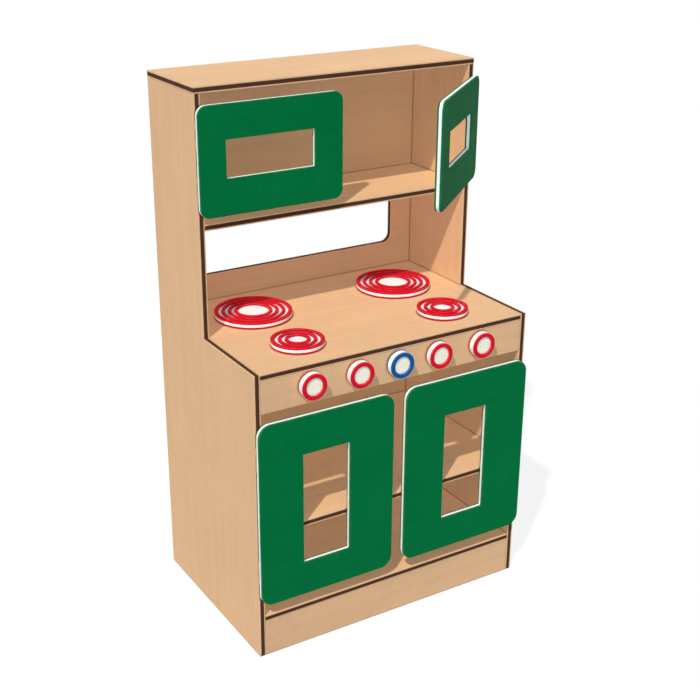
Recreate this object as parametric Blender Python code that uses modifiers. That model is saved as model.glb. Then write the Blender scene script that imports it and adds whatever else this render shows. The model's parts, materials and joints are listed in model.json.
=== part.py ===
# Play kitchen with a hutch: a base cabinet with burners and knobs, and a closed
# cabinet on two tall sides above the counter. All of it is cut from flat sheet.
# Lengths are in metres. X runs to the right, Y to the back and Z up.
# The origin is on the floor, under the middle of the kick plate's thickness.

import math

import bmesh
import bpy
from mathutils import Matrix

# Cabinet
cabinet_width = 0.610
base_depth = 0.404
hutch_depth = 0.201
counter_height = 0.590
niche_height = 0.209
hutch_inside_height = 0.2386
sheet = 0.0127
joint_gap = 0.0003
sheet_edge_round = 0.0007

# Panels of the base
kick_height = 0.0758
lower_compartment_height = 0.170
control_panel_height = 0.0643

# Window in the back panel
back_window_side_margin = 0.0513
back_window_above_counter = 0.054
back_window_below_shelf = 0.051
back_window_corner = 0.019

# Doors
upper_door_middle_gap = 0.012
upper_door_above_shelf = 0.0138
upper_door_below_top = 0.0198
upper_door_corner = 0.0185
upper_window_side_margin = 0.0575
upper_window_above_bottom = 0.069
upper_window_below_top = 0.0645
lower_door_middle_gap = 0.028
lower_door_above_floor_panel = 0.0302
lower_door_below_control_panel = 0.0179
lower_door_corner = 0.0245
lower_window_side_margin = 0.095
lower_window_above_bottom = 0.0695
lower_window_below_top = 0.0768
window_offset_left = 0.003
door_edge_round = 0.001
open_door_angle = math.radians(40.5)

# Hinges
hinge_length = 0.050
hinge_leaf_margin = 0.0022
hinge_leaf_thickness = 0.0010
hinge_knuckle_radius = 0.0021
hinge_pin_radius = 0.0009
hinge_clearance = 0.0003
upper_hinge_inset = 0.052
lower_hinge_inset = 0.070

# Knobs
knob_radius = 0.0257
knob_thickness = 0.0165
knob_recess_radius = 0.0177
knob_recess_depth = 0.003
knob_edge_round = 0.0008
knob_above_panel_middle = 0.0052
knob_washer_radius = 0.010
knob_washer_thickness = 0.001
knob_place_shares = (-0.3123, -0.1457, 0.0, 0.1457, 0.3123)

# Bolt of a knob
bolt_radius = 0.0032
knob_left_over_bolt = 0.0027
bolt_head_radius = 0.0065
bolt_head_height = 0.0042
bolt_head_round = 0.0008

# Burners
front_burner_radius = 0.0510
back_burner_radius = 0.0770
front_groove_count = 2
back_groove_count = 3
burner_rim_width = 0.0076
burner_groove_width = 0.0066
burner_ridge_width = 0.0061
burner_groove_depth = 0.0040
burner_recess_depth = 0.0040
burner_edge_round = 0.0008
burner_across_share = 0.2708
front_burner_along_share = 0.2211
back_burner_along_share = 0.6588

# Screws of the burners
front_screw_from_middle = 0.025
back_screw_from_middle = 0.040
screw_radius = 0.0020
burner_left_over_screw = 0.0024
screw_head_radius = 0.0042
screw_head_height = 0.0024
screw_head_round = 0.0006

# How finely the round shapes are cut
corner_steps = 6
knob_steps = 32
front_burner_steps = 32
back_burner_steps = 40
washer_steps = 20
bolt_steps = 14
screw_steps = 10
knuckle_steps = 14
edge_round_steps = 1
merge_distance = 0.00001

# Colours
tan_colour = (0.72, 0.47, 0.27, 1.0)
green_colour = (0.0, 0.14, 0.042, 1.0)
red_colour = (0.74, 0.013, 0.026, 1.0)
blue_colour = (0.0, 0.10, 0.38, 1.0)
steel_colour = (0.62, 0.62, 0.61, 1.0)
nylon_colour = (0.80, 0.79, 0.74, 1.0)

# Places that follow from the sizes
left_face = -cabinet_width / 2
right_face = cabinet_width / 2
inner_left = left_face + sheet + joint_gap
inner_right = right_face - sheet - joint_gap
base_front = -sheet / 2
back_face = base_front + base_depth
hutch_front = back_face - hutch_depth
panel_back = back_face - sheet - joint_gap

# Heights that follow from the sizes
floor_panel_bottom = kick_height + joint_gap
floor_panel_top = floor_panel_bottom + sheet
middle_shelf_bottom = floor_panel_top + lower_compartment_height
middle_shelf_top = middle_shelf_bottom + sheet
counter_bottom = counter_height - sheet
control_panel_top = counter_bottom - joint_gap
control_panel_bottom = control_panel_top - control_panel_height
hutch_shelf_bottom = counter_height + niche_height
hutch_shelf_top = hutch_shelf_bottom + sheet
top_underside = hutch_shelf_top + hutch_inside_height
side_top = top_underside - joint_gap
cabinet_height = top_underside + sheet
knob_height = (control_panel_bottom + control_panel_top) / 2 + knob_above_panel_middle

# Sizes that follow from the sizes above
hinge_depth = joint_gap / 2
hinge_leaf_width = sheet - hinge_leaf_margin
knuckle_cut_radius = hinge_knuckle_radius + hinge_clearance
knob_hole_depth = knob_thickness - knob_recess_depth - knob_left_over_bolt
screw_hole_depth = sheet - burner_groove_depth - burner_left_over_screw
through_cut = sheet + 2 * joint_gap


# Scene and collections

def clear_scene():
    for item in list(bpy.data.objects):
        bpy.data.objects.remove(item, do_unlink=True)


def make_collection(name):
    collection = bpy.data.collections.new(name)
    bpy.context.scene.collection.children.link(collection)
    return collection


def make_material(name, colour, roughness, metallic):
    material = bpy.data.materials.new(name)
    material.use_nodes = True
    shader = material.node_tree.nodes["Principled BSDF"]
    shader.inputs["Base Color"].default_value = colour
    shader.inputs["Roughness"].default_value = roughness
    shader.inputs["Metallic"].default_value = metallic
    material.diffuse_color = colour
    return material


def tan_sheet(name):
    return make_material(name + "_sheet", tan_colour, 0.5, 0.0)


def green_sheet(name):
    return make_material(name + "_sheet", green_colour, 0.45, 0.0)


def red_sheet(name):
    return make_material(name + "_sheet", red_colour, 0.42, 0.0)


def blue_sheet(name):
    return make_material(name + "_sheet", blue_colour, 0.42, 0.0)


def bright_steel(name):
    return make_material(name + "_steel", steel_colour, 0.32, 1.0)


def painted_steel(name):
    return make_material(name + "_paint", tan_colour, 0.4, 0.0)


def pale_nylon(name):
    return make_material(name + "_nylon", nylon_colour, 0.5, 0.0)


# Shapes

def mesh_object(name, mesh, collection, material=None):
    item = bpy.data.objects.new(name, mesh)
    collection.objects.link(item)
    if material:
        mesh.materials.clear()
        mesh.materials.append(material)
    return item


def box(name, low, high, collection, material=None):
    # a box between two corners, with its origin at its centre
    size = [b - a for a, b in zip(low, high)]
    centre = [(a + b) / 2 for a, b in zip(low, high)]
    shape = bmesh.new()
    bmesh.ops.create_cube(shape, size=1.0)
    bmesh.ops.scale(shape, vec=size, verts=shape.verts)
    mesh = bpy.data.meshes.new(name)
    shape.to_mesh(mesh)
    shape.free()
    item = mesh_object(name, mesh, collection, material)
    item.location = centre
    return item


def rounded_rectangle(low, high, radius):
    # the corners' points, counter-clockwise; a radius of zero leaves square corners
    if radius == 0:
        return [(low[0], low[1]), (high[0], low[1]), (high[0], high[1]), (low[0], high[1])]
    centres = [
        (high[0] - radius, low[1] + radius, -math.pi / 2),
        (high[0] - radius, high[1] - radius, 0.0),
        (low[0] + radius, high[1] - radius, math.pi / 2),
        (low[0] + radius, low[1] + radius, math.pi),
    ]
    points = []
    for across, up, start in centres:
        for step in range(corner_steps + 1):
            angle = start + step / corner_steps * math.pi / 2
            points.append((across + radius * math.cos(angle), up + radius * math.sin(angle)))
    return points


def plate(name, loops, thickness, placing, collection, material=None):
    # a flat plate: the first loop is its outline and the others are holes in it
    curve = bpy.data.curves.new(name + "_outline", "CURVE")
    curve.dimensions = "2D"
    curve.fill_mode = "BOTH"
    curve.extrude = thickness / 2
    for loop in loops:
        spline = curve.splines.new("POLY")
        spline.points.add(len(loop) - 1)
        for point, place in zip(spline.points, loop):
            point.co = (place[0], place[1], 0.0, 1.0)
        spline.use_cyclic_u = True
    outline = bpy.data.objects.new(name + "_outline", curve)
    collection.objects.link(outline)
    outline.matrix_world = placing
    bpy.context.view_layer.update()
    graph = bpy.context.evaluated_depsgraph_get()
    mesh = bpy.data.meshes.new_from_object(outline.evaluated_get(graph))
    shape = bmesh.new()
    shape.from_mesh(mesh)
    bmesh.ops.remove_doubles(shape, verts=shape.verts, dist=merge_distance)
    bmesh.ops.recalc_face_normals(shape, faces=shape.faces)
    shape.to_mesh(mesh)
    shape.free()
    item = mesh_object(name, mesh, collection, material)
    item.matrix_world = outline.matrix_world.copy()
    bpy.data.objects.remove(outline, do_unlink=True)
    return item


def turned(name, profile, steps, closed, collection, material=None):
    # a profile of (radius, height) points, turned about the local Z axis
    mesh = bpy.data.meshes.new(name)
    edges = [(i, i + 1) for i in range(len(profile) - 1)]
    if closed:
        edges.append((len(profile) - 1, 0))
    mesh.from_pydata([(radius, 0.0, height) for radius, height in profile], edges, [])
    item = mesh_object(name, mesh, collection, material)
    screw = item.modifiers.new("turn", "SCREW")
    screw.axis = "Z"
    screw.steps = steps
    screw.render_steps = steps
    screw.use_merge_vertices = True
    screw.merge_threshold = merge_distance
    screw.use_smooth_shade = True
    return item


def round_edges(item, width):
    bevel = item.modifiers.new("rounded edges", "BEVEL")
    bevel.width = width
    bevel.segments = edge_round_steps
    bevel.limit_method = "ANGLE"
    bevel.angle_limit = math.radians(40)


def hide_cutter(item):
    item.hide_render = True
    item.display_type = "WIRE"


def cut(item, cutter):
    hide_cutter(cutter)
    boolean = item.modifiers.new("cut " + cutter.name, "BOOLEAN")
    boolean.operation = "DIFFERENCE"
    boolean.solver = "EXACT"
    boolean.object = cutter


def rod(name, radius, length, steps, collection, inner_radius=0):
    # an upright rod or, with an inner radius, a tube, centred on its origin
    high = length / 2
    if inner_radius:
        profile = [(inner_radius, high), (radius, high), (radius, -high), (inner_radius, -high)]
    else:
        profile = [(0.0, high), (radius, high), (radius, -high), (0.0, -high)]
    return turned(name, profile, steps, bool(inner_radius), collection)


def upright_across(middle_y):
    # local X and Y become the world's X and Z, and local Z points to the front
    return Matrix.Translation((0.0, middle_y, 0.0)) @ Matrix.Rotation(math.pi / 2, 4, "X")


def upright_along(middle_x):
    # local X and Y become the world's Y and Z, and local Z points to the right
    turn = Matrix(((0, 0, 1, 0), (1, 0, 0, 0), (0, 1, 0, 0), (0, 0, 0, 1)))
    return Matrix.Translation((middle_x, 0.0, 0.0)) @ turn


# Panels

def side_outline():
    return [
        (base_front, 0.0),
        (back_face, 0.0),
        (back_face, side_top),
        (hutch_front, side_top),
        (hutch_front, counter_height),
        (base_front, counter_height),
    ]


def make_side(name, middle_x, parts):
    item = plate(name, [side_outline()], sheet, upright_along(middle_x), parts, tan_sheet(name))
    round_edges(item, sheet_edge_round)
    return item


def make_top(parts):
    item = box(
        "top_panel",
        (left_face, hutch_front, top_underside),
        (right_face, back_face, cabinet_height),
        parts,
        tan_sheet("top_panel"),
    )
    round_edges(item, sheet_edge_round)


def make_back(parts):
    outline = rounded_rectangle((inner_left, 0.0), (inner_right, side_top), 0)
    window = rounded_rectangle(
        (left_face + sheet + back_window_side_margin, counter_height + back_window_above_counter),
        (right_face - sheet - back_window_side_margin, hutch_shelf_bottom - back_window_below_shelf),
        back_window_corner,
    )
    placing = upright_across(back_face - sheet / 2)
    item = plate("back_panel", [outline, window], sheet, placing, parts, tan_sheet("back_panel"))
    round_edges(item, sheet_edge_round)


def make_inner_panel(name, front, back, low, high, parts):
    item = box(name, (inner_left, front, low), (inner_right, back, high), parts, tan_sheet(name))
    round_edges(item, sheet_edge_round)
    return item


def make_panels(parts):
    left = make_side("left_side", left_face + sheet / 2, parts)
    right = make_side("right_side", right_face - sheet / 2, parts)
    make_top(parts)
    make_back(parts)
    counter = make_inner_panel("counter", base_front, panel_back, counter_bottom, counter_height, parts)
    panel_inside = base_front + sheet
    control = make_inner_panel(
        "control_panel", base_front, panel_inside, control_panel_bottom, control_panel_top, parts
    )
    make_inner_panel("hutch_shelf", hutch_front, panel_back, hutch_shelf_bottom, hutch_shelf_top, parts)
    make_inner_panel("middle_shelf", base_front, panel_back, middle_shelf_bottom, middle_shelf_top, parts)
    make_inner_panel("floor_panel", base_front, panel_back, floor_panel_bottom, floor_panel_top, parts)
    make_inner_panel("kick_plate", base_front, panel_inside, 0.0, kick_height, parts)
    return left, right, counter, control


# Hinges

def leaf_outline(side, front):
    # a leaf seen from above, with its knuckle centred on the axis: side is +1 for a
    # leaf that runs to +X and front is -1 for the door's leaf and +1 for the side's
    near = hinge_depth
    far = hinge_depth + hinge_leaf_thickness
    start = math.asin(near / hinge_knuckle_radius)
    sweep = 2 * math.pi - (math.asin(far / hinge_knuckle_radius) - start)
    points = [(hinge_leaf_width, near)]
    for step in range(knuckle_steps + 1):
        angle = start - step / knuckle_steps * sweep
        points.append((hinge_knuckle_radius * math.cos(angle), hinge_knuckle_radius * math.sin(angle)))
    points.append((hinge_leaf_width, far))
    return [(side * across, front * along) for across, along in points]


def make_hinge(name, axis, side, centre, parts, cutters):
    # axis is the empty on the door's hinge line, which the door's pieces follow, and
    # centre is the hinge's height; the side's leaf keeps the pin
    knuckle = hinge_length / 3
    base = Matrix.Translation((axis.location.x, axis.location.y, centre))
    side_leaf = plate(
        name + "_side_leaf",
        [leaf_outline(side, 1)],
        hinge_length,
        base,
        parts,
        painted_steel(name + "_side_leaf"),
    )
    middle_ring = rod(
        name + "_middle_cutter",
        knuckle_cut_radius,
        knuckle + 2 * hinge_clearance,
        knuckle_steps,
        cutters,
        hinge_pin_radius,
    )
    middle_ring.matrix_world = base
    cut(side_leaf, middle_ring)
    local = Matrix.Translation((0.0, 0.0, centre))
    door_leaf = plate(
        name + "_door_leaf",
        [leaf_outline(side, -1)],
        hinge_length,
        local,
        parts,
        painted_steel(name + "_door_leaf"),
    )
    door_leaf.parent = axis
    hole = rod(
        name + "_pin_hole_cutter",
        hinge_pin_radius + hinge_clearance,
        knuckle + 2 * hinge_knuckle_radius,
        knuckle_steps,
        cutters,
    )
    hole.matrix_world = local
    hole.parent = axis
    cut(door_leaf, hole)
    for end in (-1, 1):
        ring = rod(
            name + ("_top" if end > 0 else "_bottom") + "_cutter",
            knuckle_cut_radius,
            knuckle + hinge_clearance,
            knuckle_steps,
            cutters,
        )
        ring.matrix_world = Matrix.Translation((0.0, 0.0, centre + end * (knuckle + hinge_clearance / 2)))
        ring.parent = axis
        cut(door_leaf, ring)


def make_hinge_pocket(name, side, front, centre, cutters):
    # the pocket that a leaf and the knuckles lie in, about the hinge line
    reach = hinge_length / 2 + hinge_clearance
    deep = hinge_depth + hinge_leaf_thickness + hinge_clearance
    low_x, high_x = sorted((0.0, side * (hinge_leaf_width + hinge_clearance)))
    low_y, high_y = sorted((-front * hinge_clearance, front * deep))
    low = (low_x, low_y, centre - reach)
    high = (high_x, high_y, centre + reach)
    flat = box(name + "_flat_cutter", low, high, cutters)
    barrel = rod(name + "_barrel_cutter", knuckle_cut_radius, 2 * reach, knuckle_steps, cutters)
    barrel.location = (0.0, 0.0, centre)
    return flat, barrel


# Doors

def make_door(door, parts, cutters):
    # door holds the door's name, its side, the plane it lies on, its sizes and its margins
    name = door["name"]
    side = door["side"]
    axis_x = left_face if side > 0 else right_face
    axis = bpy.data.objects.new(name + "_axis", None)
    parts.objects.link(axis)
    axis.location = (axis_x, door["front"] - hinge_depth, 0.0)
    width = (cabinet_width - door["middle_gap"]) / 2
    bottom = door["bottom"]
    top = door["top"]
    edges = sorted((side * joint_gap, side * width))
    outline = rounded_rectangle((edges[0], bottom), (edges[1], top), door["corner"])
    middle = side * width / 2 - door["window_offset"]
    reach = width / 2 - door["window_side_margin"]
    window = rounded_rectangle(
        (middle - reach, bottom + door["window_above_bottom"]),
        (middle + reach, top - door["window_below_top"]),
        0,
    )
    placing = upright_across(-hinge_depth - sheet / 2)
    item = plate(name, [outline, window], sheet, placing, parts, green_sheet(name))
    item.parent = axis
    round_edges(item, door_edge_round)
    panel = bpy.data.objects["left_side" if side > 0 else "right_side"]
    for number, centre in enumerate((bottom + door["hinge_inset"], top - door["hinge_inset"]), 1):
        hinge = name + "_hinge_" + str(number)
        make_hinge(hinge, axis, side, centre, parts, cutters)
        for piece in make_hinge_pocket(hinge + "_door", side, -1, centre, cutters):
            piece.parent = axis
            cut(item, piece)
        for piece in make_hinge_pocket(hinge + "_side", side, 1, centre, cutters):
            piece.location.x += axis.location.x
            piece.location.y += axis.location.y
            cut(panel, piece)
    axis.rotation_euler = (0.0, 0.0, -side * door["rest_angle"])
    return axis


def upper_door(name, side, rest_angle, window_offset):
    return {
        "name": name,
        "side": side,
        "front": hutch_front,
        "middle_gap": upper_door_middle_gap,
        "bottom": hutch_shelf_top + upper_door_above_shelf,
        "top": top_underside - upper_door_below_top,
        "corner": upper_door_corner,
        "window_side_margin": upper_window_side_margin,
        "window_above_bottom": upper_window_above_bottom,
        "window_below_top": upper_window_below_top,
        "window_offset": window_offset,
        "hinge_inset": upper_hinge_inset,
        "rest_angle": rest_angle,
    }


def lower_door(name, side):
    return {
        "name": name,
        "side": side,
        "front": base_front,
        "middle_gap": lower_door_middle_gap,
        "bottom": floor_panel_top + lower_door_above_floor_panel,
        "top": control_panel_bottom - lower_door_below_control_panel,
        "corner": lower_door_corner,
        "window_side_margin": lower_window_side_margin,
        "window_above_bottom": lower_window_above_bottom,
        "window_below_top": lower_window_below_top,
        "window_offset": window_offset_left,
        "hinge_inset": lower_hinge_inset,
        "rest_angle": 0.0,
    }


def make_doors(parts, cutters):
    make_door(upper_door("upper_left_door", 1, 0.0, window_offset_left), parts, cutters)
    make_door(upper_door("upper_right_door", -1, open_door_angle, 0.0), parts, cutters)
    make_door(lower_door("lower_left_door", 1), parts, cutters)
    make_door(lower_door("lower_right_door", -1), parts, cutters)


# Knobs

def knob_profile():
    top = knob_thickness
    floor = knob_thickness - knob_recess_depth
    soft = knob_edge_round
    hole = bolt_radius + joint_gap
    return [
        (0.0, floor),
        (knob_recess_radius, floor),
        (knob_recess_radius, top - soft),
        (knob_recess_radius + soft, top),
        (knob_radius - soft, top),
        (knob_radius, top - soft),
        (knob_radius, soft),
        (knob_radius - soft, 0.0),
        (hole, 0.0),
        (hole, knob_hole_depth),
        (0.0, knob_hole_depth),
    ]


def bolt_profile():
    # height zero is under the head, and the shank points to the knob
    soft = bolt_head_round
    length = joint_gap + sheet + knob_stand_off() + knob_hole_depth - joint_gap
    return [
        (0.0, length),
        (bolt_radius - soft, length),
        (bolt_radius, length - soft),
        (bolt_radius, 0.0),
        (bolt_head_radius, 0.0),
        (bolt_head_radius, soft - bolt_head_height),
        (bolt_head_radius - soft, -bolt_head_height),
        (0.0, -bolt_head_height),
    ]


def knob_stand_off():
    # from the control panel's face to the knob's back
    return knob_washer_thickness + 2 * joint_gap


def washer_profile():
    hole = bolt_radius + joint_gap
    return [
        (hole, knob_washer_thickness),
        (knob_washer_radius, knob_washer_thickness),
        (knob_washer_radius, 0.0),
        (hole, 0.0),
    ]


def face_front(item, place):
    # turns a turned piece so that its local Z axis points to the front
    item.rotation_euler = (math.pi / 2, 0.0, 0.0)
    item.location = place


def make_knobs(control, parts, cutters):
    middle = len(knob_place_shares) // 2
    for index, place_share in enumerate(knob_place_shares):
        across = place_share * cabinet_width
        number = str(index + 1)
        sheet_material = blue_sheet if index == middle else red_sheet
        name = "knob_" + number
        knob = turned(name, knob_profile(), knob_steps, False, parts, sheet_material(name))
        face_front(knob, (across, base_front - knob_stand_off(), knob_height))
        name = "knob_bolt_" + number
        bolt = turned(name, bolt_profile(), bolt_steps, False, parts, bright_steel(name))
        face_front(bolt, (across, base_front + sheet + joint_gap, knob_height))
        name = "knob_washer_" + number
        washer = turned(name, washer_profile(), washer_steps, True, parts, pale_nylon(name))
        face_front(washer, (across, base_front - joint_gap, knob_height))
        hole = rod("knob_hole_cutter_" + number, bolt_radius + joint_gap, through_cut, bolt_steps, cutters)
        face_front(hole, (across, base_front + sheet / 2, knob_height))
        cut(control, hole)


# Burners

def burner_profile(radius, groove_count):
    # from the middle of the top out to the rim and back to the middle below
    top = sheet
    soft = burner_edge_round
    floor = top - burner_groove_depth
    recess_floor = top - burner_recess_depth
    pitch = burner_groove_width + burner_ridge_width
    recess = radius - burner_rim_width - groove_count * pitch
    points = [(0.0, recess_floor), (recess, recess_floor), (recess, top)]
    for groove in range(groove_count):
        inner = recess + burner_ridge_width + groove * pitch
        outer = inner + burner_groove_width
        points.extend([(inner, top), (inner, floor), (outer, floor), (outer, top)])
    points.extend([(radius - soft, top), (radius, top - soft)])
    points.extend([(radius, soft), (radius - soft, 0.0), (0.0, 0.0)])
    return points


def screw_profile():
    # height zero is under the head, and the shank points up
    soft = screw_head_round
    length = sheet + joint_gap + screw_hole_depth
    return [
        (0.0, length),
        (screw_radius - soft, length),
        (screw_radius, length - soft),
        (screw_radius, 0.0),
        (screw_head_radius, 0.0),
        (screw_head_radius, soft - screw_head_height),
        (screw_head_radius - soft, -screw_head_height),
        (0.0, -screw_head_height),
    ]


def make_burner(name, across, back, counter, parts, cutters):
    radius = back_burner_radius if back else front_burner_radius
    grooves = back_groove_count if back else front_groove_count
    steps = back_burner_steps if back else front_burner_steps
    screw_place = back_screw_from_middle if back else front_screw_from_middle
    along_share = back_burner_along_share if back else front_burner_along_share
    along = base_front + along_share * base_depth
    burner = turned(name, burner_profile(radius, grooves), steps, False, parts, red_sheet(name))
    burner.location = (across, along, counter_height + joint_gap)
    hole_radius = screw_radius + joint_gap
    for number, side in ((1, -1), (2, 1)):
        place = across + side * screw_place
        screw_name = name + "_screw_" + str(number)
        screw = turned(screw_name, screw_profile(), screw_steps, False, parts, bright_steel(screw_name))
        screw.location = (place, along, counter_bottom - joint_gap)
        counter_hole = rod(screw_name + "_counter_cutter", hole_radius, through_cut, screw_steps, cutters)
        counter_hole.location = (place, along, counter_height - sheet / 2)
        cut(counter, counter_hole)
        length = screw_hole_depth + joint_gap
        burner_hole = rod(screw_name + "_burner_cutter", hole_radius, length, screw_steps, cutters)
        burner_hole.location = (place, along, counter_height + length / 2)
        cut(burner, burner_hole)


def make_burners(counter, parts, cutters):
    for word, side in (("left", -1), ("right", 1)):
        across = side * burner_across_share * cabinet_width
        make_burner("burner_back_" + word, across, True, counter, parts, cutters)
        make_burner("burner_front_" + word, across, False, counter, parts, cutters)


def main():
    clear_scene()
    parts = make_collection("toy_stove")
    cutters = make_collection("cutters")
    left, right, counter, control = make_panels(parts)
    make_doors(parts, cutters)
    make_knobs(control, parts, cutters)
    make_burners(counter, parts, cutters)
    bpy.context.view_layer.update()


main()
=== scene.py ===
# The play kitchen's looks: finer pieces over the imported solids, their finishes, a floor, light and camera.
import json
import math

import bmesh
import bpy
from mathutils import Euler, Matrix, Vector


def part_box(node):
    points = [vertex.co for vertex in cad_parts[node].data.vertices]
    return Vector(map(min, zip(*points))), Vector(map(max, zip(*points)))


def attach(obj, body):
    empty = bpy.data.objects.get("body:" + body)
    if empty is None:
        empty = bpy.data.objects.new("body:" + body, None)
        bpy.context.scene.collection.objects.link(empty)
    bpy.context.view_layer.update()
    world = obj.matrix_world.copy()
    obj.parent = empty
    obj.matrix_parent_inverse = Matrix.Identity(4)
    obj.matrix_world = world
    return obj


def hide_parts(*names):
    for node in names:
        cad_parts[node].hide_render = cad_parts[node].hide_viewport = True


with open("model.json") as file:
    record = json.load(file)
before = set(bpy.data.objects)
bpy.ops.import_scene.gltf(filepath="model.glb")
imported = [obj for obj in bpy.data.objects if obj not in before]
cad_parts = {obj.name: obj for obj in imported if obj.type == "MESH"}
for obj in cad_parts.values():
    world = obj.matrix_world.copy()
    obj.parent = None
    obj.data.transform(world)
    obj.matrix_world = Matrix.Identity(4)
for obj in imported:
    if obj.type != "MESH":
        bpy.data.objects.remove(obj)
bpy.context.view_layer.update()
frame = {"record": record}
bodyOf = {}
for bodyName, members in frame["record"]["behaviour"]["bodies"].items():
    for member in members:
        bodyOf[member] = bodyName
print("frame loaded:", len(bodyOf), "solids")

# The sheet that everything is cut from: two coloured skins on a core of another colour.
sheet = {
    "thickness": 0.0127,
    "panelCore": 0.0076,  # thickness of the core, the rest is skin
    "doorCore": 0.0056,
    "burnerCore": 0.0052,
    "knobSkin": 0.0030,
    "gap": 0.0003,  # air left between two pieces
    "edgeRound": 0.0007,
    "doorEdgeRound": 0.0011,
    "tan": (0.755, 0.474, 0.262),
    "brown": (0.075, 0.033, 0.021),
    "green": (0.0, 0.163, 0.044),
    "red": (0.64, 0.005, 0.020),  # on the burners, which lie flat in the light; the knobs take a copy of it painted brighter
    # painted light: the same red made brighter for the knobs, whose front faces the sun lights less than the
    # burners' tops
    "knobRedPaintedBrighter": (0.74, 0.006, 0.022),
    "blue": (0.0, 0.102, 0.34),
    "white": (0.90, 0.90, 0.88),
    "cream": (1.0, 0.98, 0.80),
}
sheetLooks = {
    "broad": (6.0, 3.0, 0.55),  # scale, detail and roughness of the noises
    "middling": (55.0, 3.0, 0.6),
    "fine": (520.0, 2.0, 0.6),
    "drawn": (1.0, 4.0, 0.7),
    "ridges": (1.0, 2.0, 0.6),
    "drawnStretch": (2.2, 60, 60),  # how often the streaks repeat along, over and through the sheet
    "ridgesStretch": (1500, 1500, 25),
    "broadTone": 0.13,  # how far each pattern lightens and darkens the colour
    "middlingTone": 0.10,
    "fineTone": 0.10,
    "drawnTone": 0.22,  # faint streaks along the sheet
    "milledTone": 0.22,  # on the cut edges only
    "coreBlend": 0.00002,  # half the width of the change from skin to core
    "cutBlend": (0.0003, 0.0007),  # depths under the face between which the cut's marks come in
    "wear": 0.32,
    "wearRadius": 0.0014,
    "wearPatchiness": 38.0,
    "wearPaleness": (0.5, 0.95),  # how much white the worn colour takes, and how bright it stays
    "scratches": 0.13,
    "darkestPaintedShade": 0.42,  # what is left of the colour down in a joint, where shade is painted in
    "roughness": 0.58,
    "middlingRoughness": 0.10,  # what each pattern adds
    "cutRoughness": 0.14,
    "rubbedRoughness": -0.07,
    "scratchRoughness": 0.12,
    "pebbles": 460.0,  # to the metre
    "bump": 0.0003,
    "bumpStrength": 0.8,
    "fineRelief": 0.35,  # how high each pattern stands beside the pebbles
    "ridgesRelief": 0.9,
    "scratchRelief": -0.6,
    "middlingRelief": 0.28,
    "gloss": 0.07,
    "doorGloss": 0.03,
    "discGloss": 0.5,
}
wearLooks = {
    "turned": (0.995, 0.90),  # cosines of the edge's turn at which wear starts and is full
    "patches": (0.42, 0.66),  # the noise's values for the least and the most wear
    "patchDetail": 3.0,
    "leastWear": 0.15,
    "bevelSamples": 2,
    "joint": (0.36, 0.80),  # how open a place is down in a joint and out on a face, which sets how much shade is painted there
    "jointSamples": 2,
    "scratchSets": (  # the turn and the stretch of each set of lines
        (0.35, (16, 1100, 1100)),
        (1.2, (24, 1300, 1300)),
        (2.7, (12, 950, 950)),
    ),
    "scratchLines": (0.79, 0.86),  # the noise's values at a line's edge and middle
    "scratchPlaces": (7.0, 2.0),  # scale and detail
    "scratchPlaceShare": (0.46, 0.66),
    "rubbed": (14.0, 4.0, 0.6),
    "rubbedShare": (0.48, 0.72),
}


# Selecting and editing

close = 1e-5  # two places closer than this are the same place
near = 1e-4  # a wider margin, for places that a cut or an inset has moved a little
flat = 0.9  # a face looks along an axis when its normal has more than this of it


def clearSelection():
    for item in list(bpy.context.selected_objects):
        item.select_set(False)


def pick(piece):
    clearSelection()
    bpy.context.view_layer.objects.active = piece
    piece.select_set(True)


def bake(piece):  # puts the object's place, turn and size into its mesh
    pick(piece)
    bpy.ops.object.transform_apply(location=True, rotation=True, scale=True)


def addBlock(name, low, high):
    clearSelection()
    low, high = Vector(low), Vector(high)
    bpy.ops.mesh.primitive_cube_add(size=1, location=(low + high) / 2, scale=high - low)
    block = bpy.context.active_object
    block.name = name
    bake(block)
    return block


def addRound(name, radius, low, high, sides, turn=(0, 0, 0)):  # a round bar between two points on its axis
    clearSelection()
    low, high = Vector(low), Vector(high)
    bpy.ops.mesh.primitive_cylinder_add(
        vertices=sides, radius=radius, depth=(high - low).length, location=(low + high) / 2, rotation=turn
    )
    bar = bpy.context.active_object
    bar.name = name
    bake(bar)
    return bar


def editFaces(piece, wanted):  # goes into edit mode with the faces that pass the test selected
    pick(piece)
    bpy.ops.object.mode_set(mode="EDIT")
    bpy.ops.mesh.select_mode(type="FACE")
    bpy.ops.mesh.select_all(action="DESELECT")
    mesh = bmesh.from_edit_mesh(piece.data)
    for face in mesh.faces:
        face.select_set(bool(wanted(face.calc_center_median(), face.normal)))
    bmesh.update_edit_mesh(piece.data)


def editEdges(piece, wanted):  # the same for edges, whose two ends are tested
    pick(piece)
    bpy.ops.object.mode_set(mode="EDIT")
    bpy.ops.mesh.select_mode(type="EDGE")
    bpy.ops.mesh.select_all(action="DESELECT")
    mesh = bmesh.from_edit_mesh(piece.data)
    for edge in mesh.edges:
        edge.select_set(bool(wanted(edge.verts[0].co, edge.verts[1].co)))
    bmesh.update_edit_mesh(piece.data)


def leaveEdit():
    bpy.ops.object.mode_set(mode="OBJECT")


def slice(piece, place, direction):  # cuts new edges across the whole piece
    editFaces(piece, lambda centre, normal: True)
    bpy.ops.mesh.bisect(plane_co=place, plane_no=direction)
    leaveEdit()


def applyLast(piece):
    pick(piece)
    bpy.ops.object.modifier_apply(modifier=piece.modifiers[-1].name)


def roundEdges(piece, width, segments=3, angle=38):
    bevel = piece.modifiers.new("rounded edges", "BEVEL")
    bevel.width = width
    bevel.segments = segments
    bevel.limit_method = "ANGLE"
    bevel.angle_limit = math.radians(angle)
    applyLast(piece)


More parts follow.
